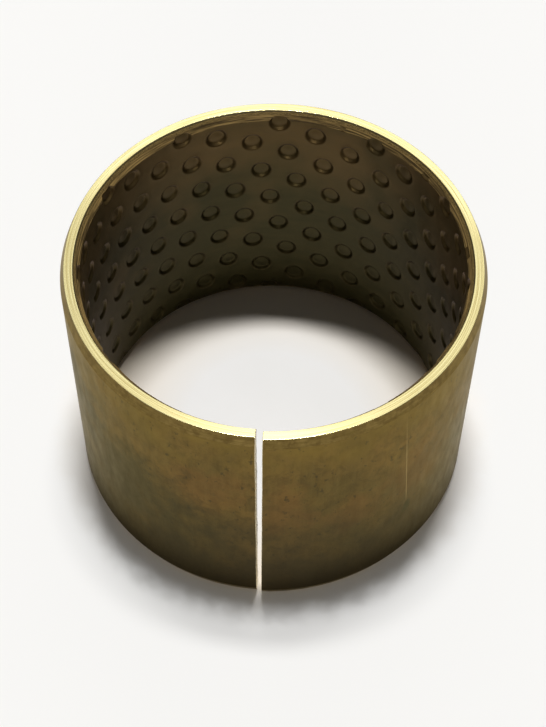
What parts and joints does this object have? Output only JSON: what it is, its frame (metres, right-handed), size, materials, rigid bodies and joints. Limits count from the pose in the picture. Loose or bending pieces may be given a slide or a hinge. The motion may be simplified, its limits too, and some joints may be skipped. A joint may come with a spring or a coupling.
{
  "type": "sleeve bushing",
  "caption": "Split wrapped sleeve bushing with chamfered ends; its dark sliding lining holds lubricant in blind pockets and guides a shaft in a press-fit housing.",
  "frame": {"origin": "centre of the lower end face, on the bore axis", "axes": "+Z along the bore axis from the lower to the upper end, -Y through the split, +X to the right when the split faces the viewer"},
  "size_m": [0.055, 0.055, 0.04],
  "materials": {
    "bronze_strip": "satin tarnished rolled strip, bright turned end faces",
    "sintered_bronze": "matt, fine-grained",
    "sliding_polymer": "semi-matt, pocketed"
  },
  "bodies": {
    "root": {"backing_shell": "bronze_strip", "sinter_layer": "sintered_bronze", "sliding_lining": "sliding_polymer"}
  },
  "joints": []
}
